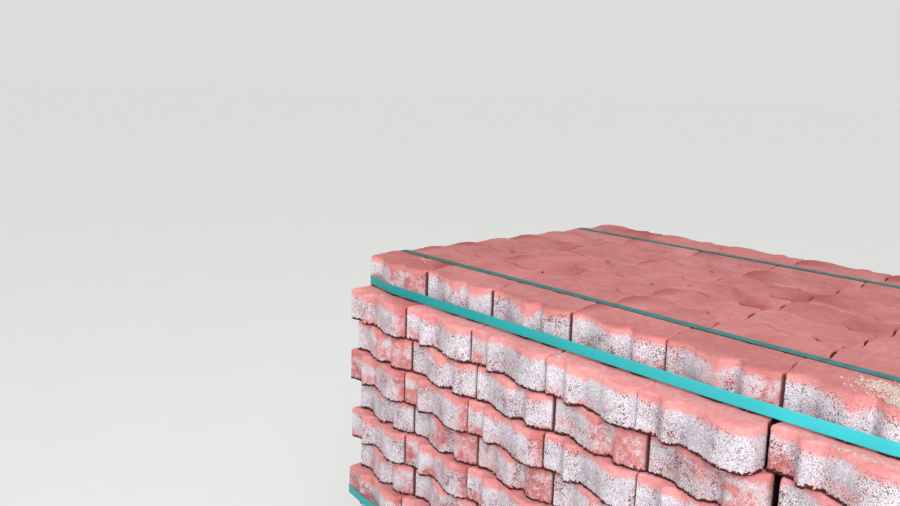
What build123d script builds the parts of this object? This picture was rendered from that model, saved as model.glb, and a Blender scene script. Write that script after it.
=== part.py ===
from build123d import *
import os
from math import cos, radians, sin

# Pallet of interlocking paving blocks: sixteen layers, two bands round the load, two bands over it.
# Millimetres, +Z up, X along the bearers, the origin on the floor under the middle of the pallet.

# One paving block, seen in plan with its long side along X and its front towards -Y
block_length = 197.0
block_depth = 100.0
block_height = 70.0
joint_width = 3.0
row_gap = 4.0
notch_depth = 25.0
end_lean = 16.0

# The wave of the long side: a shallow recess, a small nose, a hollow and a long lobe
heel_y = -1.0
recess_end = (36.0, 5.0)
nose = (57.0, -13.0)
hollow = (76.0, 5.0)
lobe_start = (145.0, -20.0)
lobe_radius = 26.0
corner_steps = 2
top_corner_steps = 3

# The load
blocks_along = 6
rows = 8
layers = 16
layer_shift_x = 16.0
layer_shift_y = 11.0
top_setback = 25.0

# The pallet
bearer_overhang = 34.0
bearer_width = 36.0
bearer_height = 66.0
slat_count = 7
slat_width = 110.0
slat_thickness = 16.0
slat_overhang = 68.0

# The bands
band_width = 19.0
band_thickness = 1.0
band_clearance = 0.3
band_rise = 12.0
upper_band_layer = layers
lower_band_layer = layers - 7
over_band_inset = 115.0

# Worked out from the sizes above
lobe_y = lobe_start[1]
block_pitch = block_length + joint_width
row_pitch = block_depth + row_gap
last_block_x = (blocks_along - 1) * block_pitch
last_row_y = (rows - 1) * row_pitch
deck_top = bearer_height + slat_thickness


def lean(y):
    """How far the leaning ends of a block stand to the side at the depth y."""
    return -end_lean * y / block_depth


def moved(points, x, y):
    return [(px + x, py + y) for px, py in points]


def corner(x, y, side, steps):
    """The rounded corner of a block: the front right one for side 1, the back left one for side -1."""
    turns = [radians(90.0 * i / steps) for i in range(steps + 1)]
    arc = [
        (x - side * lobe_radius * (1 - sin(a)), y + side * lobe_radius * (1 - cos(a))) for a in turns
    ]
    return [(px + lean(py), py) for px, py in arc]


def front_side(steps):
    """The wavy front of a block, from left to right."""
    wave = [(lean(heel_y), heel_y), recess_end, nose, hollow, lobe_start]
    return wave + corner(block_length, lobe_y, 1, steps)


def back_side(steps):
    """The back of the block, from right to left: the wave of the front, moved back."""
    tip_y = block_depth + lobe_y
    wave = moved([lobe_start, hollow, nose, recess_end], 0, block_depth)
    return [(block_length + lean(tip_y), tip_y)] + wave + corner(0, block_depth + heel_y, -1, steps)


def block_outline(steps):
    return front_side(steps) + back_side(steps)


layer_left = min(x for x, y in block_outline(corner_steps))
layer_right = max(x for x, y in block_outline(corner_steps)) + last_block_x
layer_front = min(y for x, y in block_outline(corner_steps))
layer_back = max(y for x, y in block_outline(corner_steps)) + last_row_y
layer_length = layer_right - layer_left
layer_depth = layer_back - layer_front
load_length = layer_length + layer_shift_x
load_depth = layer_depth + layer_shift_y
slat_length = load_depth + 2 * slat_overhang
bearer_length = load_length + 2 * bearer_overhang


def layer_outline(steps):
    """One closed outline round a whole layer, with a notch at each joint between two blocks."""
    points = []
    for i in range(blocks_along):
        points += moved(front_side(steps), i * block_pitch, 0)
        if i < blocks_along - 1:
            notch_y = heel_y + notch_depth
            points.append(((i + 1) * block_pitch - joint_width / 2 + lean(notch_y), notch_y))
    for j in range(rows - 1):
        tip_y = block_depth + lobe_y
        tip = (block_length + lean(tip_y), tip_y)
        notch = (tip[0] - notch_depth, tip_y + row_gap / 2)
        next_corner = moved(corner(block_length, lobe_y, 1, steps), 0, row_pitch)
        points += moved([tip, notch] + next_corner, last_block_x, j * row_pitch)
    for i in reversed(range(blocks_along)):
        points += moved(back_side(steps), i * block_pitch, last_row_y)
        if i > 0:
            notch_y = block_depth + lobe_y - notch_depth
            points.append((i * block_pitch - joint_width / 2 + lean(notch_y), last_row_y + notch_y))
    for j in reversed(range(rows - 1)):
        heel = (lean(heel_y), row_pitch + heel_y)
        slope = (recess_end[1] - heel_y) / recess_end[0]
        notch = (notch_depth, heel[1] + slope * notch_depth - row_gap / 2)
        points += moved([heel, notch] + corner(0, block_depth + heel_y, -1, steps), 0, j * row_pitch)
    return points


def slab(points, height):
    return extrude(make_face(Polyline(*points, close=True)), height)


def layer_spot(number):
    """Where the middle of a layer lies in plan. Every other layer stands to the right and back."""
    side = -1 if number % 2 == 1 else 1
    setback = top_setback if number == layers else 0
    return side * layer_shift_x / 2, side * layer_shift_y / 2 + setback


def place_layer(shape, number):
    """Seats a layer on the one below. Every other layer is turned half round."""
    x, y = layer_spot(number)
    turn = 0 if number % 2 == 1 else 180
    z = deck_top + (number - 1) * block_height
    middle = Pos(-(layer_left + layer_right) / 2, -(layer_front + layer_back) / 2, 0)
    return Pos(x, y, z) * Rot(0, 0, turn) * middle * shape


def plain_layer():
    return slab(layer_outline(corner_steps), block_height)


def top_layer():
    """The uppermost layer, block by block, because its joints show from above."""
    block = slab(block_outline(top_corner_steps), block_height)
    spots = [(i * block_pitch, j * row_pitch) for j in range(rows) for i in range(blocks_along)]
    return Compound(children=[Pos(x, y, 0) * block for x, y in spots])


def band_ring(hull):
    """A flat band pulled tight round a convex outline, with sharp bends."""
    inner = offset(hull, amount=band_clearance, kind=Kind.INTERSECTION)
    return offset(inner, amount=band_thickness, kind=Kind.INTERSECTION) - inner


def band_round(number):
    """A band that lies level round the outside of one layer."""
    steps = top_corner_steps if number == layers else corner_steps
    outline = place_layer(make_face(Polyline(*layer_outline(steps), close=True)), number)
    level = outline.center().Z
    flat = Pos(0, 0, -level) * outline
    ring = extrude(band_ring(make_hull(flat.edges())), band_width)
    return Pos(0, 0, level + band_rise) * ring


def load_profile():
    """What a band over the load lies on, seen from the front: deck, layers and level bands."""
    parts = Pos(0, deck_top - slat_thickness / 2) * Rectangle(load_length, slat_thickness)
    for number in range(1, layers + 1):
        middle = deck_top + (number - 0.5) * block_height
        parts += Pos(layer_spot(number)[0], middle) * Rectangle(layer_length, block_height)
    length_over_band = layer_length + 2 * (band_clearance + band_thickness)
    for number in (upper_band_layer, lower_band_layer):
        middle = deck_top + (number - 1) * block_height + band_rise + band_width / 2
        parts += Pos(layer_spot(number)[0], middle) * Rectangle(length_over_band, band_width)
    return parts


def band_over(y):
    """A band that runs lengthwise over the load, down both ends and under the deck."""
    ring = extrude(band_ring(make_hull(load_profile().edges())), band_width)
    return Pos(0, y + band_width / 2, 0) * Rot(90, 0, 0) * ring


def deck_slat(x):
    return Pos(x, 0, bearer_height) * Box(
        slat_width, slat_length, slat_thickness, align=(Align.CENTER, Align.CENTER, Align.MIN)
    )


def bearer(y):
    return Pos(0, y, 0) * Box(
        bearer_length, bearer_width, bearer_height, align=(Align.CENTER, Align.CENTER, Align.MIN)
    )


def all_nodes():
    nodes = {}
    bearer_y = (load_depth - bearer_width) / 2
    nodes["bearer_front"] = bearer(-bearer_y)
    nodes["bearer_middle"] = bearer(0)
    nodes["bearer_back"] = bearer(bearer_y)
    slat_pitch = (load_length - slat_width) / (slat_count - 1)
    for i in range(slat_count):
        nodes[f"deck_slat_{i + 1}"] = deck_slat((i - (slat_count - 1) / 2) * slat_pitch)
    layer = plain_layer()
    for number in range(1, layers):
        nodes[f"paver_layer_{number:02d}"] = place_layer(layer, number)
    nodes[f"paver_layer_{layers:02d}"] = place_layer(top_layer(), layers)
    nodes["band_round_upper"] = band_round(upper_band_layer)
    nodes["band_round_lower"] = band_round(lower_band_layer)
    top_middle_y = layer_spot(layers)[1]
    over_reach = (layer_depth - band_width) / 2 - over_band_inset
    nodes["band_over_front"] = band_over(top_middle_y - over_reach)
    nodes["band_over_back"] = band_over(top_middle_y + over_reach)
    return nodes


os.makedirs("parts", exist_ok=True)
for name, shape in all_nodes().items():
    export_step(shape, f"parts/{name}.step")
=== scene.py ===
import math
import random

import bpy
import numpy as np
from mathutils import Matrix, Vector, noise
from mathutils.bvhtree import BVHTree


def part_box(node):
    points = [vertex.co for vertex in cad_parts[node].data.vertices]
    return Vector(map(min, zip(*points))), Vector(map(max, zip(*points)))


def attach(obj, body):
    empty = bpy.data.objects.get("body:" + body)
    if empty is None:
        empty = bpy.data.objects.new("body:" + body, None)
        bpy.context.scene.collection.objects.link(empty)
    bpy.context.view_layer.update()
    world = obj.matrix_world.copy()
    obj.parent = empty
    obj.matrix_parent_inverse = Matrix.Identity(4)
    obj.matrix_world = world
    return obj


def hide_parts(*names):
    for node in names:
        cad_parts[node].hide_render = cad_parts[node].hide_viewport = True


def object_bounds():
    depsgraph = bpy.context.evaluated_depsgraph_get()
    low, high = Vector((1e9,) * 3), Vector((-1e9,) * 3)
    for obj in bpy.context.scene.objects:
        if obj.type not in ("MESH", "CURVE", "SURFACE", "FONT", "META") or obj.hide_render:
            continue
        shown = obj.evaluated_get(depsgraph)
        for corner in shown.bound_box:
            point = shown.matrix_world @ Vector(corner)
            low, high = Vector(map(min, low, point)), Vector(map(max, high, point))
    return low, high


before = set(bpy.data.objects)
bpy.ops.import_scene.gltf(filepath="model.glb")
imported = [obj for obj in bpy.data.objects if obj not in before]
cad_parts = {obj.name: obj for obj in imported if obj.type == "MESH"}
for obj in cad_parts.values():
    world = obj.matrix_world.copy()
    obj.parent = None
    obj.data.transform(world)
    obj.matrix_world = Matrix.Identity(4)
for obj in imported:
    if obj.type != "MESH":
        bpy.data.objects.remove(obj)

# A strapped pallet of wavy paving blocks: the looks. Metres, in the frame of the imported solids.

FRAME_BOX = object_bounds()

# The load and the pallet, as in the solids
BLOCKS_ALONG = 6
ROWS = 8
LAYERS = 16
SLATS = 7
BEARERS = ("front", "middle", "back")
BLOCK_LENGTH = 0.197
BLOCK_DEPTH = 0.100
BLOCK_HEIGHT = 0.070
BLOCK_PITCH = 0.200
ROW_PITCH = 0.104

# One block in plan: the wave of its long sides (a recess, a nose, a hollow, a lobe), two round corners,
# ends that bend to the left half way back, and a back right corner that stands a little proud
WAVE = [
    (-0.016, -0.003), (0.0, -0.001), (0.014, 0.003), (0.030, 0.006), (0.039, 0.004), (0.048, -0.005),
    (0.057, -0.0095), (0.066, -0.003), (0.076, 0.007), (0.095, 0.0035), (0.119, -0.004), (0.138, -0.013),
    (0.155, -0.0165), (0.171, -0.0165), (0.197, -0.0165),
]
HEEL_Y = -0.001
LOBE_Y = -0.0165
LOBE_RADIUS = 0.026
TIP_RISE = 0.0065
TIP_LENGTH = 0.024
END_LEAN = 0.016
LEAN_STARTS = 0.022
LEAN_ENDS = 0.086
SHARP_RADIUS = 0.003
LAST_STRAIGHT = BLOCK_LENGTH - END_LEAN - 0.001
BLOCK_HALF = np.array([BLOCK_LENGTH / 2, BLOCK_DEPTH / 2])
BLOCK_MIDDLE = np.array([(BLOCK_LENGTH - END_LEAN) / 2, BLOCK_DEPTH / 2])

# The forms of the wave: (middle along the block, reach to each side)
RECESS = (0.022, 0.020)
HOLLOW = (0.080, 0.015)
NARROW_END = (0.010, 0.028)
LOBE_END = (BLOCK_LENGTH, 0.018)

# The dent half way along the joint between two blocks
DENT_Y = 0.045
DENT_WIDTH = 0.0045
DENT_DEPTH = 0.0035
DENT_STARTS = 0.045
DENT_RISE = 0.020

# The box of a layer's solid and its middle, seen from the front left corner of the first block
SOLID_LEFT = -0.01168
SOLID_RIGHT = 1.19604
SOLID_FRONT = -0.020
SOLID_BACK = 0.833
SOLID_MIDDLE = np.array([(SOLID_LEFT + SOLID_RIGHT) / 2, (SOLID_FRONT + SOLID_BACK) / 2])

# One block in height: rings of points from its underside up, with how far each is drawn in
RINGS = [
    (0.0, 0.0030), (0.0009, 0.0008), (0.0030, 0.0), (0.0070, 0.0), (0.0150, 0.0), (0.0250, 0.0),
    (0.0350, 0.0), (0.0450, 0.0), (0.0530, 0.0), (0.0590, 0.0), (0.0640, 0.0), (0.0672, 0.0006),
    (0.0691, 0.0018), (0.0700, 0.0036),
]
PLAIN_RINGS = [(0.0, 0.0), (BLOCK_HEIGHT, 0.0)]

# How closely the outline is followed
FINE_STEP = 0.0036
MIDDLE_STEP = 0.0080
COARSE_STEP = 0.020

# How unevenly the blocks are laid, and how much longer they are than in the solids, to narrow the joints
SHIFT_SPREAD = 0.0016
LAYER_SPREAD = 0.003
TURN_SPREAD = 0.008
SINK_SPREAD = 0.0009
BLOCK_GROWTH = 0.0016

# How unevenly the blocks are pressed and how worn they are: the depth of each kind, and its waves in a metre
SURFACE_WAVE, SURFACE_WAVES = 0.0007, 55.0
ROUGH_TOP, ROUGH_TOP_WAVES = 0.0009, 150.0
ROUGH_FOOT, ROUGH_FOOT_WAVES = 0.0075, 140.0
FOOT_BURR, FOOT_BURR_WAVES = 0.0060, 130.0
TOP_CHIP, TOP_CHIP_WAVES = 0.0040, 40.0
FOOT_CHIP, FOOT_CHIP_WAVES = 0.0056, 48.0
TOP_WEAR_STARTS = 0.058
FOOT_WEAR_ENDS = 0.010

# The red rim: how far down it reaches, and how much further by chance and in each form of the wave
RIM_REACH = 0.0110
RIM_CHANCE = 0.004
RIM_RAGGED, RIM_RAGGED_WAVES = 0.005, 30.0
RIM_IN_RECESS = 0.010
RIM_IN_HOLLOW = 0.020
RIM_AT_LOBE = 0.014

# The red stains: how far up they climb at least, and how much further at most. The patches vary them.
STAIN_CLIMB = 0.010
STAIN_CLIMBS_FURTHER = 0.085
PATCH_WAVES = 16.0

# The grey under the rim, with less painted shade and fewer dull patches: (middle below the top, reach up and
# down)
LIGHTER_UNDER_RIM = (0.017, 0.012)

# How dark the painted shadow line at the foot is: heights and values
FOOT_SHADOW = ((0.0, 0.003, 0.007, 0.015), (1.0, 0.80, 0.34, -0.4))

# Colour of the blocks: a lighter rim, the top layer's top painted a deeper, darker red as shadow, darker
# lower layers
RIM_LIGHTER = 0.12
SHADOWED_TOP_DEEP = 0.30
SHADOWED_TOP_TONE = 0.74
SHADOWED_TOP_FROM = 0.0645
SHADOWED_TOP_RISE = 0.0050
LAYER_DARKER = 0.012
DARKEST_LAYER = 0.93
BLOCK_TONES = (0.94, 1.05)

# The walls of the joints, painted dark as shade: how far in the painted shade starts on each side. The top
# starts above them.
SHADE_ON_LEFT = 0.003
SHADE_ON_RIGHT = 0.0004
SHADE_IN_OPEN_JOINT = 0.036
TOP_STARTS = 0.066

# Turned layers stand a little back, so that their proud corners keep their line
TURNED_SHIFT = (-0.003, 0.010)

# Layers that stand out of line: (x, y)
LAYER_NUDGES = {
    16: (-0.008, 0.007), 15: (0.005, -0.002), 14: (0.001, -0.010), 13: (0.003, -0.001),
    12: (-0.002, 0.0), 11: (0.0, 0.005),
}

# Single blocks that stand out of line: (layer, row, place along): (x, y, turn in radians)
NUDGES = {
    (16, 0, 3): (-0.001, 0.0, 0.0),
    (16, 0, 4): (-0.003, 0.0, 0.0),
    (16, 0, 5): (-0.007, 0.004, 0.0),
    (15, 0, 3): (0.002, -0.006, 0.0),
    (15, 0, 4): (-0.001, -0.012, 0.0),
    (15, 0, 5): (0.005, 0.012, -0.09),
    (15, 1, 5): (0.004, 0.008, -0.03),
    (14, 0, 5): (0.010, 0.010, -0.03),
    (13, 0, 5): (0.008, 0.008, 0.0),
}

# How far each kind of red reaches on a block, from 0 to 1: by chance, or as set here where it shows most
LOOK_NAMES = ("rim", "recess", "hollow", "right", "left", "low")
LOOKS = {
    (16, 0, 0): {"left": 1.0, "low": 1.0, "right": 0.1},
    (16, 0, 1): {"left": 0.1, "low": 0.2, "right": 0.1},
    (16, 0, 2): {"left": 0.2, "low": 0.2, "right": 0.4},
    (16, 0, 3): {"left": 0.6, "low": 0.35},
    (16, 0, 4): {"left": 0.9, "low": 0.7, "right": 0.2},
    (16, 0, 5): {"left": 0.3, "low": 0.2, "hollow": 0.7},
    (15, 0, 1): {"left": 0.5, "low": 0.3, "right": 0.1},
    (15, 0, 2): {"left": 0.6, "low": 0.4, "right": 0.1},
    (15, 0, 3): {"left": 0.5, "low": 0.3, "right": 0.2},
    (15, 0, 4): {"left": 0.5, "low": 0.15, "right": 0.3, "recess": 0.5},
    (15, 0, 5): {"left": 0.8, "low": 0.5, "right": 0.2},
    (14, 0, 0): {"left": 0.9, "low": 0.9},
    (14, 0, 3): {"left": 1.0, "low": 0.85, "hollow": 0.4},
    (14, 0, 4): {"left": 1.0, "low": 1.0, "hollow": 0.3},
    (13, 0, 0): {"left": 0.9, "low": 0.8},
    (12, 0, 1): {"left": 1.0, "low": 0.9},
}

# What the concrete is told at every point of a block, among it painted shade on sides facing left, in
# hollows, on the walls of the joints and on the top layer's top, and a painted shadow line at the foot
FIELDS = ("red", "deep_red_and_shade", "shade_and_dull", "edge", "joint_shade", "smooth", "tone")

# Blocks with an open joint on their right, where their end shows
OPEN_JOINTS = {(15, 0, 4), (14, 0, 4), (13, 0, 4)}

# How squarely a side has to face an end, a row, or a row at the load's open ends, to be a wall of a joint
FACES_END = 0.7
FACES_ROW = 0.5
FACES_ROW_AT_OPEN_END = 0.985

# Sand and crumbs on top of a layer: (crumbs in each spot, [(x, y, reach in x, reach in y), ...])
GRAINS = {
    16: [
        (1300, [(0.535, -0.318, 0.055, 0.030), (0.575, -0.360, 0.05, 0.024)]),
        (40, [(-0.50, -0.30, 0.05, 0.02)]),
    ],
    15: [
        (160, [(0.53, -0.398, 0.06, 0.006)]),
        (60, [(0.015, -0.400, 0.015, 0.010), (-0.505, -0.40, 0.02, 0.01)]),
    ],
}

# A grain: size, height, sinking, straying, lumps and tones, and how far above and below the top it can be
GRAIN_SMALLEST = 0.0009
GRAIN_LARGER = 0.0028
GRAIN_HEIGHT = 0.0013
GRAIN_SINK = 0.0003
GRAIN_SPREAD = 0.45
GRAIN_LUMPS = (0.6, 1.3)
GRAIN_TONES = (0.8, 1.15)
GRAIN_DROP = 0.010
GRAIN_LOWEST = 0.004
GRAIN_CORNERS = [(1, 0, 0), (0, 1, 0), (-1, 0, 0), (0, -1, 0), (0, 0, 1), (0, 0, -1)]
GRAIN_FACES = [(k, (k + 1) % 4, 4) for k in range(4)] + [((k + 1) % 4, k, 5) for k in range(4)]

# The bands: a flat strip with thin edges and a shallow groove along the middle of its outside
BAND_WIDTH = 0.019
BAND_THICKNESS = 0.0009
BAND_EDGE = 0.0008
BAND_GROOVE_EDGE = 0.0020
BAND_GROOVE_LEVEL = 0.8
BAND_CLEARANCE = 0.0003
BAND_SAG = 0.0075
BAND_STEP = 0.012
BEND_STEP = 0.35
LOWER_BAND_LAYER = 9
LEVEL_DRIFT = 0.0010
OVER_DRIFT = 0.0015
DRIFT_WAVES = 2.2
# Above this height a band is dusty and painted darker as shade
DUST_AND_SHADE_ABOVE = FRAME_BOX[1][2] - 0.003

# Rough sawn timber: the depth of saw marks and gouges, and their waves in a metre along and across
CORNER_WEAR = 0.0022
SECTION_STEP = 0.018
STATION_STEP = 0.016
SAW_MARKS, SAW_WAVES_ALONG, SAW_WAVES_ACROSS = 0.0011, 9, 40
GOUGES, GOUGE_WAVES_ALONG, GOUGE_WAVES_ACROSS = 0.0014, 22, 25
GOUGE_STARTS = 0.25
END_WEAR = 0.0012
PLANK_TONES = (0.88, 1.1)
GRAIN_STRETCH = 0.045
KNOT_STRETCH = 0.35

# Timber colours: pale, dark, stain, weathered
BEARER_COLOURS = ((184, 152, 104), (138, 108, 68), (100, 78, 52), (150, 132, 100))
SLAT_COLOURS = ((212, 203, 190), (170, 157, 142), (140, 126, 112), (186, 179, 168))

# Camera, sky, lamp and floor
CAMERA_PLACE = (0.9927, -1.4785, 1.5797)
CAMERA_RIGHT = (0.6426, 0.7658, 0.0256)
CAMERA_DOWN = (0.1601, -0.1015, -0.9819)
FOCAL_PIXELS = 882.2
PHOTO_WIDTH = 900.0
SENSOR_WIDTH = 36.0
SKY_LIGHT = 0.80
SKY_SEEN = 0.712
LAMP_PLACE = (3.0, -3.0, 3.8)
LAMP_TARGET = (0.0, 0.0, 0.8)
LAMP_SIZE = 2.4
LAMP_POWER = 130.0
FLOOR_REACH = 150.0
FLOOR_COLOUR = (0.90, 0.90, 0.89, 1.0)


def linear(red, green, blue):
    """A colour as it looks on screen, 0 to 255, as a linear colour."""
    def channel(value):
        value /= 255
        return value / 12.92 if value <= 0.04045 else ((value + 0.055) / 1.055) ** 2.4
    return (channel(red), channel(green), channel(blue), 1.0)


# Node materials


class Nodes:
    """A material's node tree, with short calls for the nodes that are used here."""

    def __init__(self, name):
        self.material = bpy.data.materials.new(name)
        self.material.use_nodes = True
        self.tree = self.material.node_tree
        self.shader = self.tree.nodes["Principled BSDF"]

    def add(self, kind, **settings):
        node = self.tree.nodes.new(kind)
        for key, value in settings.items():
            setattr(node, key, value)
        return node

    def join(self, source, target):
        self.tree.links.new(source, target)

    def feed(self, socket, value):
        if isinstance(value, bpy.types.NodeSocket):
            self.join(value, socket)
        else:
            socket.default_value = value

    def attribute(self, name, output="Fac"):
        return self.add("ShaderNodeAttribute", attribute_name=name).outputs[output]

    def place(self):
        return self.add("ShaderNodeTexCoord").outputs["Object"]

    def seeded_place(self):
        """The place in the object, moved by the piece's own seed, so that no two pieces look alike."""
        return self.vector("ADD", self.place(), self.attribute("seed", "Vector"))

    def math(self, operation, first, second):
        node = self.add("ShaderNodeMath", operation=operation)
        self.feed(node.inputs[0], first)
        self.feed(node.inputs[1], second)
        return node.outputs[0]

    def vector(self, operation, first, second):
        node = self.add("ShaderNodeVectorMath", operation=operation)
        self.feed(node.inputs[0], first)
        self.feed(node.inputs[1], second)
        return node.outputs[0]

    def swing(self, value, size):
        """A noise value moved from round a half to round zero, and scaled."""
        return self.math("MULTIPLY", self.math("SUBTRACT", value, 0.5), size)

    def ramp(self, value, low, high, out_low=0.0, out_high=1.0):
        """A smooth step from out_low at low to out_high at high. Low may be the larger."""
        if low > high:
            low, high, out_low, out_high = high, low, out_high, out_low
        node = self.add("ShaderNodeMapRange", interpolation_type="SMOOTHSTEP")
        self.feed(node.inputs["Value"], value)
        for name, number in zip(("From Min", "From Max", "To Min", "To Max"), (low, high, out_low, out_high)):
            node.inputs[name].default_value = number
        return node.outputs["Result"]

    def mix(self, factor, first, second):
        node = self.add("ShaderNodeMix", data_type="RGBA")
        self.feed(node.inputs["Factor"], factor)
        self.feed(node.inputs[6], first)
        self.feed(node.inputs[7], second)
        return node.outputs[2]

    def noise(self, vector, scale, detail=3.0, roughness=0.55, distortion=0.0):
        node = self.add("ShaderNodeTexNoise")
        self.feed(node.inputs["Vector"], vector)
        node.inputs["Scale"].default_value = scale
        node.inputs["Detail"].default_value = detail
        node.inputs["Roughness"].default_value = roughness
        node.inputs["Distortion"].default_value = distortion
        return node.outputs["Fac"]

    def cells(self, vector, scale):
        node = self.add("ShaderNodeTexVoronoi")
        self.feed(node.inputs["Vector"], vector)
        node.inputs["Scale"].default_value = scale
        return node.outputs["Distance"]

    def colour_surface(self, colour):
        """Gives the surface its colour, lighter or darker by the piece's own tone, which on the top layer's
        top also darkens it as painted shadow.
        """
        tone = self.add("ShaderNodeHueSaturation")
        self.join(colour, tone.inputs["Color"])
        self.join(self.attribute("tone"), tone.inputs["Value"])
        self.join(tone.outputs["Color"], self.shader.inputs["Base Color"])

    def set_gloss(self, roughness, specular):
        self.shader.inputs["Roughness"].default_value = roughness
        self.shader.inputs["Specular IOR Level"].default_value = specular

    def raise_surface(self, height, distance, strength):
        bump = self.add("ShaderNodeBump")
        self.join(height, bump.inputs["Height"])
        bump.inputs["Distance"].default_value = distance
        bump.inputs["Strength"].default_value = strength
        self.join(bump.outputs["Normal"], self.shader.inputs["Normal"])


def concrete():
    """Pressed concrete: light grey with a pink cast, full of pores, under a red face layer."""
    n = Nodes("paver_concrete")
    spot = n.seeded_place()
    broad = n.noise(spot, 20.0, 3.0)
    mottle = n.noise(spot, 85.0, 4.0, 0.6)
    fine = n.noise(spot, 420.0, 3.0, 0.6)
    streak = n.noise(n.vector("MULTIPLY", spot, (1.0, 1.0, 0.15)), 80.0, 3.0)
    grainy = n.noise(n.vector("ADD", spot, (3.1, 7.7, 1.3)), 360.0, 3.0, 0.7)
    ragged = n.swing(fine, 0.7)

    # The grey core: mottled and streaked, darker as painted shade where the side faces left and in the
    # hollow, dull in random patches, and full of dark and light grain
    grey = n.mix(n.ramp(mottle, 0.32, 0.68), linear(210, 200, 210), linear(240, 234, 241))
    grey = n.mix(n.ramp(streak, 0.48, 0.72, 0.0, 0.45), grey, linear(188, 178, 188))
    grey = n.mix(n.attribute("shade_and_dull"), grey, linear(166, 157, 167))
    grey = n.mix(n.ramp(grainy, 0.45, 0.36, 0.0, 0.65), grey, linear(160, 142, 152))
    grey = n.mix(n.ramp(grainy, 0.55, 0.64, 0.0, 0.9), grey, linear(255, 253, 254))

    # The red of the face layer and of the stains, deeper in the stains, and deeper as painted shadow on the
    # top layer's top
    red = n.mix(n.ramp(mottle, 0.3, 0.7), linear(232, 148, 147), linear(246, 172, 170))
    red = n.mix(n.ramp(broad, 0.38, 0.72, 0.0, 0.5), red, linear(222, 134, 134))
    red = n.mix(n.ramp(grainy, 0.56, 0.70, 0.0, 0.35), red, linear(252, 202, 196))
    red = n.mix(n.attribute("deep_red_and_shade"), red, linear(190, 92, 87))

    # Red over grey with a ragged border, and a pink blush beyond it
    field = n.math("ADD", n.attribute("red"), n.swing(mottle, 1.7))
    field = n.math("ADD", field, n.math("MULTIPLY", ragged, 2.0))
    blush = n.math("ADD", field, n.swing(broad, 1.1))
    redness = n.ramp(field, 0.38, 0.92)
    colour = n.mix(n.ramp(blush, 0.0, 0.60, 0.0, 0.70), grey, linear(230, 172, 174))
    colour = n.mix(redness, colour, red)

    # Pores in crowds, fewer on the red and none on top
    crowded = n.math("MULTIPLY", n.math("SUBTRACT", n.math("ADD", broad, mottle), 1.0), 0.75)
    small = n.math("SUBTRACT", n.math("ADD", n.cells(spot, 430.0), ragged), crowded)
    large = n.math("SUBTRACT", n.math("ADD", n.cells(spot, 210.0), ragged), crowded)
    pore = n.math("MAXIMUM", n.ramp(small, 0.30, 0.22), n.ramp(large, 0.18, 0.11))
    pore = n.math("MULTIPLY", pore, n.math("SUBTRACT", 1.0, n.attribute("smooth")))
    pore = n.math("MULTIPLY", pore, n.math("SUBTRACT", 1.0, n.math("MULTIPLY", redness, 0.65)))
    colour = n.mix(n.math("MULTIPLY", pore, 0.85), colour, linear(84, 62, 70))

    # Sand, painted shade on the walls of the joints, and a painted shadow line where a block meets the layer
    # below
    sand = n.mix(n.ramp(grainy, 0.35, 0.65), linear(178, 158, 142), linear(238, 226, 214))
    colour = n.mix(n.attribute("sand"), colour, sand)
    # Painted shadow: a dark, ragged line at the foot of each block, where it meets the layer below
    jagged = n.swing(n.noise(spot, 190.0, 2.0), 1.7)
    contact_shadow = n.ramp(n.math("ADD", n.attribute("edge"), jagged), 0.42, 0.62)
    colour = n.mix(n.attribute("joint_shade"), colour, linear(104, 58, 56))
    colour = n.mix(contact_shadow, colour, linear(84, 38, 36))

    n.colour_surface(colour)
    n.set_gloss(0.92, 0.2)
    grit = n.math("ADD", n.math("MULTIPLY", fine, 0.5), n.math("MULTIPLY", mottle, 0.35))
    flatter_on_top = n.ramp(n.attribute("smooth"), 0.0, 1.0, 1.0, 0.4)
    n.raise_surface(n.math("MULTIPLY", n.math("SUBTRACT", grit, pore), flatter_on_top), 0.0016, 0.8)
    return n.material


def timber(name, along, colours):
    """Rough sawn softwood with its grain along one axis (0 for X, 1 for Y)."""
    pale, dark, stain, weathered = (linear(*colour) for colour in colours)
    n = Nodes(name)
    spot = n.seeded_place()

    def stretched(amount):
        return n.vector("MULTIPLY", spot, tuple(amount if axis == along else 1.0 for axis in range(3)))

    grain = n.noise(stretched(GRAIN_STRETCH), 190.0, 5.0, 0.6, 0.6)
    rings = n.noise(stretched(GRAIN_STRETCH), 45.0, 2.0, 0.5, 1.2)
    blotch = n.noise(spot, 9.0, 4.0, 0.6)
    dirt = n.noise(spot, 30.0, 5.0, 0.65)
    knot = n.cells(stretched(KNOT_STRETCH), 16.0)
    sawn_end = n.mix(n.ramp(dirt, 0.35, 0.7), linear(92, 68, 42), linear(150, 118, 80))
    colour = n.mix(n.ramp(grain, 0.3, 0.7), dark, pale)
    colour = n.mix(n.ramp(rings, 0.48, 0.62, 0.0, 0.45), colour, dark)
    colour = n.mix(n.ramp(blotch, 0.5, 0.72, 0.0, 0.65), colour, stain)
    colour = n.mix(n.ramp(dirt, 0.52, 0.74, 0.0, 0.5), colour, weathered)
    colour = n.mix(n.ramp(knot, 0.05, 0.13, 0.8, 0.0), colour, linear(74, 54, 36))
    n.colour_surface(n.mix(n.attribute("end"), colour, sawn_end))
    n.set_gloss(0.85, 0.25)
    relief = n.math("ADD", n.math("MULTIPLY", grain, 0.8), n.math("MULTIPLY", dirt, 0.5))
    n.raise_surface(relief, 0.0016, 0.9)
    return n.material


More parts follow.
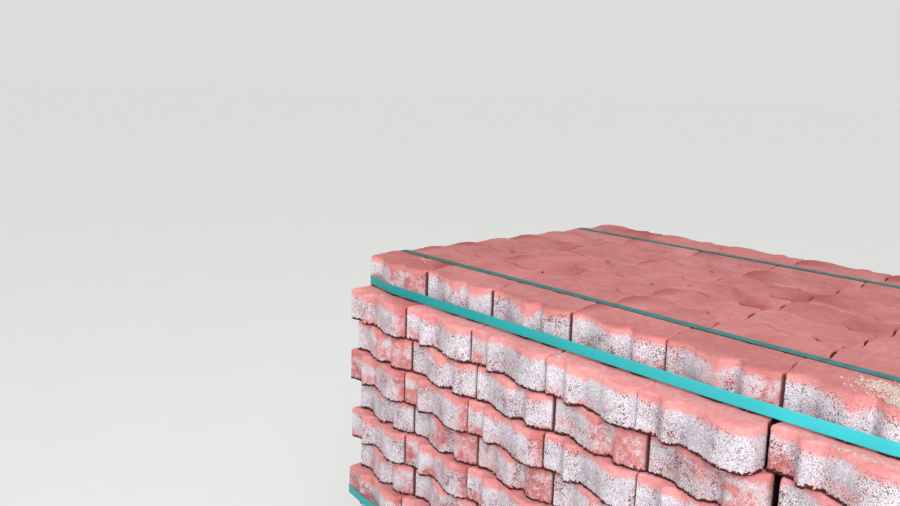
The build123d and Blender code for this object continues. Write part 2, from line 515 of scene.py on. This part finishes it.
def plastic():
    """Glossy green-blue strapping with a fine raised pattern, lighter toward +X as a painted sheen, and dusty
    and painted darker as shade where it lies on top.
    """
    n = Nodes("band_plastic")
    place = n.place()
    split = n.add("ShaderNodeSeparateXYZ")
    n.join(place, split.inputs[0])
    cloud = n.noise(place, 40.0, 4.0, 0.6)
    scuff = n.noise(n.vector("MULTIPLY", place, (0.25, 0.25, 1.0)), 700.0, 3.0, 0.6)
    # Dust and painted shade where the band lies on top: dark grey-green, rougher and less glossy
    dust_and_shade = n.attribute("dust_and_shade")
    dust_and_shade_cover = n.math("MULTIPLY", dust_and_shade, n.ramp(cloud, 0.25, 0.75, 0.75, 1.0))
    # Painted sheen: the colour lightens toward +X
    colour = n.mix(n.ramp(split.outputs[0], -0.55, 0.62), linear(0, 160, 160), linear(62, 211, 218))
    colour = n.mix(n.ramp(scuff, 0.60, 0.80, 0.0, 0.35), colour, linear(120, 205, 205))
    colour = n.mix(dust_and_shade_cover, colour, linear(66, 110, 106))
    n.join(colour, n.shader.inputs["Base Color"])
    n.join(n.ramp(dust_and_shade, 0.0, 1.0, 0.30, 0.8), n.shader.inputs["Roughness"])
    n.join(n.ramp(dust_and_shade, 0.0, 1.0, 0.3, 0.12), n.shader.inputs["Specular IOR Level"])
    weave = n.add("ShaderNodeTexWave", wave_type="BANDS", bands_direction="DIAGONAL")
    n.join(n.attribute("emboss", "Vector"), weave.inputs["Vector"])
    weave.inputs["Scale"].default_value = 95.0
    n.raise_surface(weave.outputs["Fac"], 0.00015, 0.5)
    return n.material


def floor_paint():
    """A plain pale floor, very slightly uneven."""
    n = Nodes("floor")
    shade = tuple(0.97 * c for c in FLOOR_COLOUR[:3]) + (1.0,)
    n.join(n.mix(n.noise(n.place(), 3.0), FLOOR_COLOUR, shade), n.shader.inputs["Base Color"])
    n.set_gloss(0.95, 0.1)
    return n.material


# Meshes


def make_piece(name, node, vertices, faces, material, attributes):
    """A mesh that dresses one node, smooth except for its flat caps."""
    mesh = bpy.data.meshes.new(name)
    mesh.from_pydata([tuple(v) for v in vertices], [], faces)
    for key, values in attributes.items():
        values = np.asarray(values, dtype=np.float32)
        kind, field = ("FLOAT_VECTOR", "vector") if values.ndim == 2 else ("FLOAT", "value")
        mesh.attributes.new(key, kind, "POINT").data.foreach_set(field, values.ravel())
    mesh.polygons.foreach_set("use_smooth", [len(face) < 5 for face in faces])
    mesh.materials.append(material)
    mesh.validate()
    piece = bpy.data.objects.new(name, mesh)
    bpy.context.scene.collection.objects.link(piece)
    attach(piece, "root")
    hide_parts(node)


def stacked_faces(rings, count):
    """The faces of a closed shape made of rings of points, each ring above the one before it."""
    last = (rings - 1) * count
    faces = [tuple(reversed(range(count))), tuple(last + i for i in range(count))]
    for k in range(rings - 1):
        low, high = k * count, (k + 1) * count
        for i in range(count):
            j = (i + 1) % count
            faces.append((low + i, low + j, high + j, high + i))
    return faces


def smooth_step(value):
    value = np.clip(value, 0.0, 1.0)
    return value * value * (3 - 2 * value)


def bell(values, center, width):
    return np.exp(-((values - center) / width) ** 2)


def noise_row(points, scale, z, seed):
    """Noise from -1 to 1 along an outline."""
    return np.array([noise.noise(Vector((x * scale + seed, y * scale, z * scale))) for x, y in points])


def noise_seed(dice):
    """A chance place from which a piece reads its noise."""
    return [dice.uniform(-5, 5) for _ in range(3)]


def around(angle):
    """The unit vector at an angle in the plane."""
    return np.array([math.cos(angle), math.sin(angle)])


def spread(start, stop, step):
    count = max(2, round(abs(stop - start) / step) + 1)
    return np.linspace(start, stop, count)


def arc(center, radius, start, stop, step):
    count = max(3, round(radius * abs(stop - start) / step) + 1)
    angles = np.linspace(start, stop, count)
    return [(center[0] + radius * math.cos(a), center[1] + radius * math.sin(a)) for a in angles]


def hull(points):
    """The convex outline round a set of points, counter-clockwise."""
    points = sorted(set((round(float(x), 6), round(float(y), 6)) for x, y in points))

    def half(run):
        chain = []
        for p in run:
            while len(chain) > 1:
                (ax, ay), (bx, by) = chain[-2:]
                if (bx - ax) * (p[1] - ay) - (by - ay) * (p[0] - ax) > 1e-10:
                    break
                chain.pop()
            chain.append(p)
        return chain[:-1]

    return half(points) + half(points[::-1])


# Blocks


def lean(y):
    """How far the end of a block has moved to the left at the depth y: an S from front to back."""
    return -END_LEAN * smooth_step((y - LEAN_STARTS) / (LEAN_ENDS - LEAN_STARTS))


def wave(x):
    """The front line of a block in plan: a smooth curve through the named points."""
    k = 1
    while k < len(WAVE) - 3 and x > WAVE[k + 1][0]:
        k += 1
    (xa, ya), (x0, y0), (x1, y1), (xb, yb) = WAVE[k - 1:k + 3]
    width = x1 - x0
    t = min(1.0, max(0.0, (x - x0) / width))
    rise0 = (y1 - ya) / (x1 - xa) * width
    rise1 = (yb - y0) / (xb - x0) * width
    return (
        y0 * (2 * t**3 - 3 * t**2 + 1) + rise0 * (t**3 - 2 * t**2 + t)
        + y1 * (3 * t**2 - 2 * t**3) + rise1 * (t**3 - t**2)
    )


def back_line(x, corner_x):
    """The back of a block: its front moved back, with the last stretch rising to the proud corner."""
    return BLOCK_DEPTH + wave(x) + TIP_RISE * smooth_step((x - corner_x + TIP_LENGTH) / TIP_LENGTH)


def outline(front_step, back_step, end_step):
    """A block's outline in plan, counter-clockwise from its front left corner."""
    quarter = math.pi / 2
    r = SHARP_RADIUS
    tip_x = BLOCK_LENGTH - END_LEAN
    tip_y = BLOCK_DEPTH + LOBE_Y + TIP_RISE
    back_heel = BLOCK_DEPTH + HEEL_Y
    arc_front = LOBE_Y + LOBE_RADIUS
    points = arc((r, HEEL_Y + r), r, 2 * quarter, 3 * quarter, front_step / 2)
    points += [(x, wave(x)) for x in spread(2 * r, BLOCK_LENGTH - LOBE_RADIUS, front_step)]
    points += arc((BLOCK_LENGTH - LOBE_RADIUS, arc_front), LOBE_RADIUS, -quarter, 0, front_step)[1:]
    points += [(BLOCK_LENGTH + lean(y), y) for y in spread(arc_front, tip_y - r, end_step)[1:-1]]
    points += arc((tip_x - r, tip_y - r), r, 0, quarter, back_step / 2)
    points += [(x, back_line(x, tip_x)) for x in spread(tip_x - 2 * r, LOBE_RADIUS - END_LEAN, back_step)]
    corner = arc((LOBE_RADIUS, back_heel - LOBE_RADIUS), LOBE_RADIUS, quarter, 2 * quarter, back_step)[1:]
    side = [(0.0, y) for y in spread(back_heel - LOBE_RADIUS, HEEL_Y + r, end_step)[1:-1]]
    return np.array(points + [(x + lean(y), y) for x, y in corner + side])


def inward(points):
    """Unit vectors that point into a counter-clockwise outline, evened out round its corners."""
    tangent = np.roll(points, -1, axis=0) - np.roll(points, 1, axis=0)
    tangent /= np.linalg.norm(tangent, axis=1)[:, None]
    normals = np.stack([-tangent[:, 1], tangent[:, 0]], axis=1)
    normals = sum(np.roll(normals, k, axis=0) for k in range(-2, 3))
    return normals / np.linalg.norm(normals, axis=1)[:, None]


class Template:
    """One way of meshing a block: its outline, its rings and its faces."""

    def __init__(self, front_step, back_step, end_step, rings):
        self.points = outline(front_step, back_step, end_step)
        self.normals = inward(self.points)
        self.rings = rings
        self.plain = rings is PLAIN_RINGS
        self.faces = stacked_faces(len(rings), len(self.points))

    def wear(self, z, seed):
        """How far the surface is worn in at each point of the ring at height z."""
        points = self.points
        near_top = np.clip((z - TOP_WEAR_STARTS) / (BLOCK_HEIGHT - TOP_WEAR_STARTS), 0, 1)
        near_foot = np.clip((FOOT_WEAR_ENDS - z) / FOOT_WEAR_ENDS, 0, 1)
        top_chips = np.clip(noise_row(points, TOP_CHIP_WAVES, 1.0, seed) - 0.42, 0, 1)
        foot_chips = np.clip(noise_row(points, FOOT_CHIP_WAVES, 5.0, seed) - 0.36, 0, 1)
        rough_foot = np.maximum(noise_row(points, ROUGH_FOOT_WAVES, z, seed + 7), -0.2)
        depth = SURFACE_WAVE * noise_row(points, SURFACE_WAVES, z * 2, seed)
        depth += ROUGH_TOP * near_top * noise_row(points, ROUGH_TOP_WAVES, z, seed + 5)
        depth += ROUGH_FOOT * near_foot * rough_foot
        depth += TOP_CHIP * near_top * top_chips
        depth += FOOT_CHIP * near_foot * foot_chips
        at_ends = (points[:, 0] < 0.001) | (points[:, 0] > LAST_STRAIGHT)
        dent = DENT_DEPTH * bell(points[:, 1], DENT_Y, DENT_WIDTH) * at_ends
        return depth + dent * np.clip((z - DENT_STARTS) / DENT_RISE, 0, 1)

    def ring(self, z, drawn_in, seed):
        """One ring of a block's points, worn and with a ragged foot unless the block is a plain one."""
        flat = BLOCK_MIDDLE + (self.points - BLOCK_MIDDLE) * (1 - drawn_in / BLOCK_HALF)
        heights = np.full(len(flat), z)
        if not self.plain:
            flat = flat + self.normals * self.wear(z, seed)[:, None]
            if z == 0.0:
                heights += FOOT_BURR * np.clip(noise_row(self.points, FOOT_BURR_WAVES, 3.0, seed), 0, 1)
        return np.column_stack([flat, heights])


class Layer:
    """All blocks of one layer, gathered into one mesh."""

    def __init__(self, number):
        self.number = number
        self.dice = random.Random(1000 + number)
        self.node = f"paver_layer_{number:02d}"
        self.turned = number % 2 == 0
        low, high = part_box(self.node)
        chance = [self.dice.uniform(-1, 1) * LAYER_SPREAD for _ in range(2)]
        nudge = LAYER_NUDGES.get(number, chance)
        shift = TURNED_SHIFT if self.turned else (0.0, 0.0)
        self.middle = np.array([(low[k] + high[k]) / 2 + nudge[k] + shift[k] for k in (0, 1)])
        self.bottom = low[2]
        self.vertices = []
        self.faces = []
        self.values = {name: [] for name in FIELDS + ("sand", "seed")}

    def add(self, vertices, faces, values):
        """Adds a closed shape that already lies where it belongs."""
        start = sum(len(v) for v in self.vertices)
        self.vertices.append(vertices)
        self.faces += [tuple(start + i for i in face) for face in faces]
        for name, parts in self.values.items():
            shape = (len(vertices), 3) if name == "seed" else len(vertices)
            parts.append(np.broadcast_to(values.get(name, 0.0), shape))

    def block(self, template, row, place):
        """Adds one block, with its own small errors of shape, colour and place."""
        dice = self.dice
        look = {name: dice.uniform(0, 1) for name in LOOK_NAMES}
        look.update(LOOKS.get((self.number, row, place), {}))
        seed = dice.uniform(0, 90)
        walls = self.inner_walls(template, row, place)
        rings = [template.ring(z, drawn_in, seed) for z, drawn_in in template.rings]
        fields = [{"tone": 1.0}] * len(rings)
        if not template.plain:
            fields = [self.colour_fields(template, z, seed, look, walls) for z, _ in template.rings]
        count = len(template.points)
        values = {
            name: np.concatenate([np.broadcast_to(field.get(name, 0.0), count) for field in fields])
            for name in FIELDS
        }
        layer_tone = max(DARKEST_LAYER, 1 - LAYER_DARKER * (LAYERS - self.number))
        values["tone"] = values["tone"] * dice.uniform(*BLOCK_TONES) * layer_tone
        values["seed"] = noise_seed(dice)
        self.add(self.laid(np.concatenate(rings), row, place), template.faces, values)

    def inner_walls(self, template, row, place):
        """Which points of the outline face another block of the layer across a joint."""
        side_x, side_y = template.normals.T * (1 if self.turned else -1)
        along, behind = template.points.T
        next_corner = HEEL_Y
        if self.turned:
            along, behind = BLOCK_LENGTH - along, BLOCK_DEPTH - behind
            next_corner = -LOBE_Y - TIP_RISE
        shaded = next_corner + np.where(side_x > 0, SHADE_ON_RIGHT, SHADE_ON_LEFT)
        if (self.number, row, place) in OPEN_JOINTS:
            shaded = SHADE_IN_OPEN_JOINT
        ends = (abs(side_x) > FACES_END) & (behind > shaded)
        across = ends & np.where(side_x > 0, place < BLOCKS_ALONG - 1, place > 0)
        open_left = (along < LOBE_RADIUS) & (place == 0)
        open_right = (along > BLOCK_LENGTH - END_LEAN - LOBE_RADIUS) & (place == BLOCKS_ALONG - 1)
        rows_meet = abs(side_y) > np.where(open_left | open_right, FACES_ROW_AT_OPEN_END, FACES_ROW)
        return across | rows_meet & np.where(side_y > 0, row < ROWS - 1, row > 0)

    def colour_fields(self, template, z, seed, look, walls):
        """What the concrete is told at the points of the ring at height z."""
        x = template.points[:, 0]
        recess, hollow, narrow, lobe = (bell(x, *form) for form in (RECESS, HOLLOW, NARROW_END, LOBE_END))
        patches = noise_row(template.points, PATCH_WAVES, 9.0 + z * 2.5, seed)
        top = float(z > TOP_STARTS)
        from_top = BLOCK_HEIGHT - z

        # The red of the face layer, which reaches down in the recess, in the hollow and at the lobe's end
        reach = RIM_REACH + RIM_CHANCE * look["rim"] + RIM_IN_RECESS * recess * look["recess"]
        reach = reach + RIM_IN_HOLLOW * hollow * look["hollow"] + RIM_AT_LOBE * lobe * look["right"] ** 2
        reach = reach + RIM_RAGGED * noise_row(template.points, RIM_RAGGED_WAVES, 3.0, seed)
        rim = np.clip(1.25 - 0.9 * from_top / np.maximum(reach, 0.002), 0, 1)

        # Red slurry that climbs from the foot, most at the narrow end, and covers some lobes' ends
        climb = STAIN_CLIMB + STAIN_CLIMBS_FURTHER * look["low"] ** 1.5
        foot = np.clip(1.2 - z / climb, 0, 1)
        stain = foot * (0.25 + narrow * (0.4 + 0.9 * look["left"]) + 0.5 * hollow * look["hollow"])
        stain = np.clip(stain * (0.5 + 0.6 * look["left"] + 1.6 * patches), 0, 0.68)
        stain = np.maximum(stain, 0.75 * lobe * (look["right"] > 0.6))

        # Painted shade: the grey is darker where the side faces left and in the hollow; random dull patches
        # too, and less of both just under the rim
        faces_left = np.clip(template.normals[:, 0] * (-1 if self.turned else 1), 0, 1)
        shade_and_dull = 0.75 * faces_left + 0.5 * hollow * (1 - look["hollow"]) + 0.25 * patches + 0.05
        lighter_under_rim = bell(from_top, *LIGHTER_UNDER_RIM)

        deep_red_and_shade = 0.90 * stain + 0.15 * rim * (recess + hollow) * (1 - top)
        tone = 1 + RIM_LIGHTER * rim * (1 - top)
        # Painted shadow: the top layer's top a deeper, darker red, as if in the shade of a stack above
        if self.number == LAYERS:
            deep_red_and_shade += top * (SHADOWED_TOP_DEEP + 0.4 * patches)
            tone = 1 - (1 - SHADOWED_TOP_TONE) * np.clip((z - SHADOWED_TOP_FROM) / SHADOWED_TOP_RISE, 0, 1)
        return {
            "red": np.maximum(np.maximum(1.35 * rim, stain), top * 1.8) + 0.12 * patches,
            "deep_red_and_shade": np.clip(deep_red_and_shade, 0, 0.9),
            "shade_and_dull": np.clip(shade_and_dull * (1 - 0.7 * lighter_under_rim) - 0.1 * lighter_under_rim, 0, 0.9),
            # A painted shadow line at the foot
            "edge": np.interp(z, *FOOT_SHADOW),
            # Painted shade on the walls of the joints, below the top
            "joint_shade": walls * float(z < TOP_STARTS),
            "smooth": top,
            "tone": tone,
        }

    def laid(self, vertices, row, place):
        """Puts a block's vertices where it lies in the layer."""
        dice = self.dice
        dx, dy, turn = NUDGES.get((self.number, row, place), (0.0, 0.0, 0.0))
        dx += dice.uniform(-0.3, 0.3) * SHIFT_SPREAD
        dy += dice.uniform(-1, 1) * SHIFT_SPREAD
        turn += dice.uniform(-1, 1) * TURN_SPREAD
        height = BLOCK_HEIGHT - dice.uniform(0, 1) * SINK_SPREAD
        if self.turned:
            row, place = ROWS - 1 - row, BLOCKS_ALONG - 1 - place
            dx, dy = -dx, -dy
        x, y = (vertices[:, :2] - BLOCK_HALF).T
        x = x * (1 + BLOCK_GROWTH / BLOCK_LENGTH)
        c, s = math.cos(turn), math.sin(turn)
        flat = np.column_stack([x * c - y * s, x * s + y * c]) + BLOCK_HALF
        flat += np.array([place * BLOCK_PITCH + dx, row * ROW_PITCH + dy]) - SOLID_MIDDLE
        if self.turned:
            flat = -flat
        return np.column_stack([flat + self.middle, vertices[:, 2] * height / BLOCK_HEIGHT + self.bottom])

    def outside(self):
        """The outermost points of the layer in plan."""
        return hull(np.concatenate(self.vertices)[:, :2])

    def scatter(self, count, spots):
        """Scatters crumbs of sand and mortar over the layer, thickest in the middle of each spot."""
        dice = random.Random(count)
        blocks = BVHTree.FromPolygons([tuple(point) for point in np.concatenate(self.vertices)], self.faces)
        above = self.bottom + BLOCK_HEIGHT + GRAIN_DROP
        for x, y, reach_x, reach_y in spots:
            for _ in range(count):
                size = GRAIN_SMALLEST + GRAIN_LARGER * dice.random() ** 2
                start_x = x + dice.gauss(0, GRAIN_SPREAD) * reach_x
                start_y = y + dice.gauss(0, GRAIN_SPREAD) * reach_y
                fall = GRAIN_DROP + GRAIN_LOWEST
                landed = blocks.ray_cast((start_x, start_y, above), (0, 0, -1), fall)[0]
                if landed is not None:
                    self.add_grain(np.array(landed) - (0, 0, GRAIN_SINK), size, dice)

    def add_grain(self, center, size, dice):
        reach = np.array([size, size, min(size, GRAIN_HEIGHT)])
        lump = np.array([center + reach * corner * dice.uniform(*GRAIN_LUMPS) for corner in GRAIN_CORNERS])
        values = {"sand": 1.0, "smooth": 1.0, "seed": noise_seed(dice), "tone": dice.uniform(*GRAIN_TONES)}
        self.add(lump, GRAIN_FACES, values)

    def finish(self, material):
        values = {name: np.concatenate(parts) for name, parts in self.values.items()}
        name = f"blocks_layer_{self.number:02d}"
        vertices = np.concatenate(self.vertices)
        make_piece(name, self.node, vertices, self.faces, material, values)


def block_template(templates, layer, row, place):
    """The finest meshes for the sides that show most, plain ones where nothing shows."""
    front = row == 0
    back = row == ROWS - 1
    if front or back:
        return templates["front"] if front != layer.turned else templates["back"]
    if place in (0, BLOCKS_ALONG - 1):
        return templates["end"]
    return templates["top"] if layer.number == LAYERS else templates["hidden"]


def build_load(material):
    """The sixteen layers, from the deck up. Gives the outline of each in plan."""
    templates = {
        "front": Template(FINE_STEP, COARSE_STEP, MIDDLE_STEP, RINGS),
        "back": Template(COARSE_STEP, FINE_STEP, MIDDLE_STEP, RINGS),
        "end": Template(MIDDLE_STEP * 1.6, MIDDLE_STEP * 1.6, MIDDLE_STEP, RINGS),
        "top": Template(MIDDLE_STEP, MIDDLE_STEP, MIDDLE_STEP * 1.5, RINGS),
        "hidden": Template(COARSE_STEP, COARSE_STEP, COARSE_STEP, PLAIN_RINGS),
    }
    outsides = {}
    for number in range(1, LAYERS + 1):
        layer = Layer(number)
        for row in range(ROWS):
            for place in range(BLOCKS_ALONG):
                layer.block(block_template(templates, layer, row, place), row, place)
        outsides[number] = layer.outside()
        for count, spots in GRAINS.get(number, []):
            layer.scatter(count, spots)
        layer.finish(material)
    return outsides


# Bands


def pulled_tight(corners):
    """A band's closed path round a convex outline, with a round bend at each corner."""
    distance = BAND_CLEARANCE + BAND_THICKNESS / 2
    path = []
    count = len(corners)
    for i in range(count):
        before, here, after = (np.array(corners[(i + k) % count]) for k in (-1, 0, 1))
        first = math.atan2(*(here - before)[::-1]) - math.pi / 2
        last = math.atan2(*(after - here)[::-1]) - math.pi / 2
        turn = (last - first) % (2 * math.pi)
        bends = max(1, round(turn / BEND_STEP))
        path += [here + distance * around(first + turn * k / bends) for k in range(bends + 1)]
        runs = round(np.linalg.norm(after - here) / BAND_STEP)
        path += [here + distance * around(last) + (after - here) * k / runs for k in range(1, runs)]
    return np.array(path)


def build_band(name, path, to_space, drift, material, seed):
    """A flat band along a closed path. to_space turns (path point, across) into a place."""
    half, thick = BAND_WIDTH / 2, BAND_THICKNESS / 2
    edge, groove = half - BAND_EDGE, half - BAND_GROOVE_EDGE
    section = [
        (-half, 0.0), (-edge, -thick), (edge, -thick), (half, 0.0), (edge, thick),
        (groove, thick * BAND_GROOVE_LEVEL), (-groove, thick * BAND_GROOVE_LEVEL), (-edge, thick),
    ]
    tangent = np.roll(path, -1, axis=0) - np.roll(path, 1, axis=0)
    tangent /= np.linalg.norm(tangent, axis=1)[:, None]
    outward = np.column_stack([tangent[:, 1], -tangent[:, 0]])
    travelled = np.concatenate([[0.0], np.cumsum(np.linalg.norm(np.diff(path, axis=0), axis=1))])
    vertices, emboss, dust_and_shade = [], [], []
    for i, point in enumerate(path):
        across = drift * noise.noise(Vector((travelled[i] * DRIFT_WAVES, seed, 0.3)))
        for side, out in section:
            vertices.append(to_space(point + outward[i] * out, side + across))
            emboss.append((travelled[i], side, 0.0))
            # Dust and painted shade on the band where it lies on top
            dust_and_shade.append(float(vertices[-1][2] > DUST_AND_SHADE_ABOVE))
    size = len(section)
    faces = []
    for i in range(len(path)):
        here, following = i * size, (i + 1) % len(path) * size
        for k in range(size):
            m = (k + 1) % size
            faces.append((here + k, following + k, following + m, here + m))
    values = {"emboss": emboss, "dust_and_shade": dust_and_shade}
    make_piece(f"strap_{name}", name, vertices, faces, material, values)


def build_level_band(name, outside, material):
    """A band level round a layer."""
    low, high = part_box(name)
    level = (low[2] + high[2]) / 2 - BAND_SAG

    def to_space(flat, across):
        return (flat[0], flat[1], level + across)

    build_band(name, pulled_tight(outside), to_space, LEVEL_DRIFT, material, level)


def box_corners(node):
    low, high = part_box(node)
    return [(x, z) for x in (low[0], high[0]) for z in (low[2], high[2])]


def build_over_band(name, material):
    """A band lengthwise over the load, down both ends and under the deck."""
    carried = [f"paver_layer_{number:02d}" for number in range(1, LAYERS + 1)]
    carried += ["deck_slat_1", f"deck_slat_{SLATS}", "band_round_upper", "band_round_lower"]
    low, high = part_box(name)
    middle = (low[1] + high[1]) / 2
    corners = hull([corner for node in carried for corner in box_corners(node)])

    def to_space(flat, across):
        return (flat[0], middle - across, flat[1])

    build_band(name, pulled_tight(corners), to_space, OVER_DRIFT, material, 40 + middle)


# Pallet


def plank_section(half_width, half_height):
    """The outline of a sawn plank's section, with worn corners and points along its sides."""
    section = []
    corners = np.array([(-1, -1), (1, -1), (1, 1), (-1, 1)])
    inner = corners * (half_width - CORNER_WEAR, half_height - CORNER_WEAR)
    for k, corner in enumerate(inner):
        first = math.atan2(corners[k][1], corners[k][0]) - math.pi / 4
        last = first + math.pi / 2
        section += [corner + CORNER_WEAR * around(angle) for angle in (first, first + math.pi / 4, last)]
        way = inner[(k + 1) % 4] - corner
        cuts = max(1, round(np.linalg.norm(way) / SECTION_STEP))
        section += [corner + CORNER_WEAR * around(last) + way * i / cuts for i in range(1, cuts)]
    return section


def sawn_depth(station, point, seed):
    """How far saw marks and gouges reach in at a point of a plank's section."""
    saw_place = (station * SAW_WAVES_ALONG + seed, point[0] * SAW_WAVES_ACROSS, point[1] * SAW_WAVES_ACROSS)
    gouge_place = (station * GOUGE_WAVES_ALONG + seed, point[0] * GOUGE_WAVES_ACROSS, 7.0)
    marks = (1 + noise.noise(Vector(saw_place))) / 2
    gouges = max(0.0, noise.noise(Vector(gouge_place)) - GOUGE_STARTS)
    return SAW_MARKS * marks + GOUGES * gouges


def build_plank(name, along, material):
    """A rough sawn board or beam in the box of its solid, with its long side along X (0) or Y (1)."""
    dice = random.Random(name)
    seed = dice.uniform(0, 50)
    low, high = (np.array(corner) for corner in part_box(name))
    other = 1 - along
    half, middle = (high - low) / 2, (high + low) / 2
    section = plank_section(half[other], half[2])
    stations = spread(low[along], high[along], STATION_STEP)
    vertices, ends = [], []
    for station in stations:
        at_end = station in (stations[0], stations[-1])
        for point in section:
            depth = sawn_depth(station, point, seed) + END_WEAR * at_end
            spot = point * (1 - depth / np.linalg.norm(point))
            placed = np.zeros(3)
            placed[along] = station
            placed[other] = middle[other] + spot[0]
            placed[2] = middle[2] + spot[1]
            vertices.append(placed)
            ends.append(float(at_end))
    faces = stacked_faces(len(stations), len(section))
    if along == 1:
        faces = [tuple(reversed(face)) for face in faces]
    total = len(vertices)
    values = {
        "end": ends,
        "tone": [dice.uniform(*PLANK_TONES)] * total,
        "seed": np.tile(noise_seed(dice), (total, 1)),
    }
    make_piece(f"rough_{name}", name, vertices, faces, material, values)


def build_pallet():
    bearer_wood = timber("bearer_timber", 0, BEARER_COLOURS)
    slat_wood = timber("slat_timber", 1, SLAT_COLOURS)
    for place in BEARERS:
        build_plank(f"bearer_{place}", 0, bearer_wood)
    for number in range(1, SLATS + 1):
        build_plank(f"deck_slat_{number}", 1, slat_wood)


# Stage, light and camera


def build_stage():
    far = FLOOR_REACH
    mesh = bpy.data.meshes.new("floor")
    mesh.from_pydata([(-far, -far, 0), (far, -far, 0), (far, far, 0), (-far, far, 0)], [], [(0, 1, 2, 3)])
    mesh.materials.append(floor_paint())
    floor = bpy.data.objects.new("floor", mesh)
    bpy.context.scene.collection.objects.link(floor)


def build_world():
    """A soft even sky. The camera sees it a little darker, so that the floor runs into it."""
    world = bpy.data.worlds.new("studio")
    bpy.context.scene.world = world
    world.use_nodes = True
    tree = world.node_tree
    background = tree.nodes["Background"]
    background.inputs["Color"].default_value = (1.0, 1.0, 1.0, 1.0)
    path = tree.nodes.new("ShaderNodeLightPath")
    strength = tree.nodes.new("ShaderNodeMapRange")
    tree.links.new(path.outputs["Is Camera Ray"], strength.inputs["Value"])
    strength.inputs["To Min"].default_value = SKY_LIGHT
    strength.inputs["To Max"].default_value = SKY_SEEN
    tree.links.new(strength.outputs["Result"], background.inputs["Strength"])


def build_lamp():
    """One soft lamp, in front on the right."""
    data = bpy.data.lights.new("key", "AREA")
    data.shape = "DISK"
    data.size = LAMP_SIZE
    data.energy = LAMP_POWER
    lamp = bpy.data.objects.new("key", data)
    lamp.location = LAMP_PLACE
    lamp.rotation_mode = "QUATERNION"
    lamp.rotation_quaternion = (Vector(LAMP_TARGET) - Vector(LAMP_PLACE)).to_track_quat("-Z", "Y")
    bpy.context.scene.collection.objects.link(lamp)


def build_camera():
    data = bpy.data.cameras.new("camera")
    data.sensor_width = SENSOR_WIDTH
    data.lens = FOCAL_PIXELS / PHOTO_WIDTH * SENSOR_WIDTH
    camera = bpy.data.objects.new("camera", data)
    right, up = Vector(CAMERA_RIGHT), -Vector(CAMERA_DOWN)
    turned = Matrix((right, up, right.cross(up))).transposed().to_4x4()
    camera.matrix_world = Matrix.Translation(CAMERA_PLACE) @ turned
    bpy.context.scene.collection.objects.link(camera)
    bpy.context.scene.camera = camera


bpy.context.scene.view_settings.view_transform = "Standard"
outsides = build_load(concrete())
strapping = plastic()
build_level_band("band_round_upper", outsides[LAYERS], strapping)
build_level_band("band_round_lower", outsides[LOWER_BAND_LAYER], strapping)
build_over_band("band_over_front", strapping)
build_over_band("band_over_back", strapping)
build_pallet()
build_stage()
build_world()
build_lamp()
build_camera()
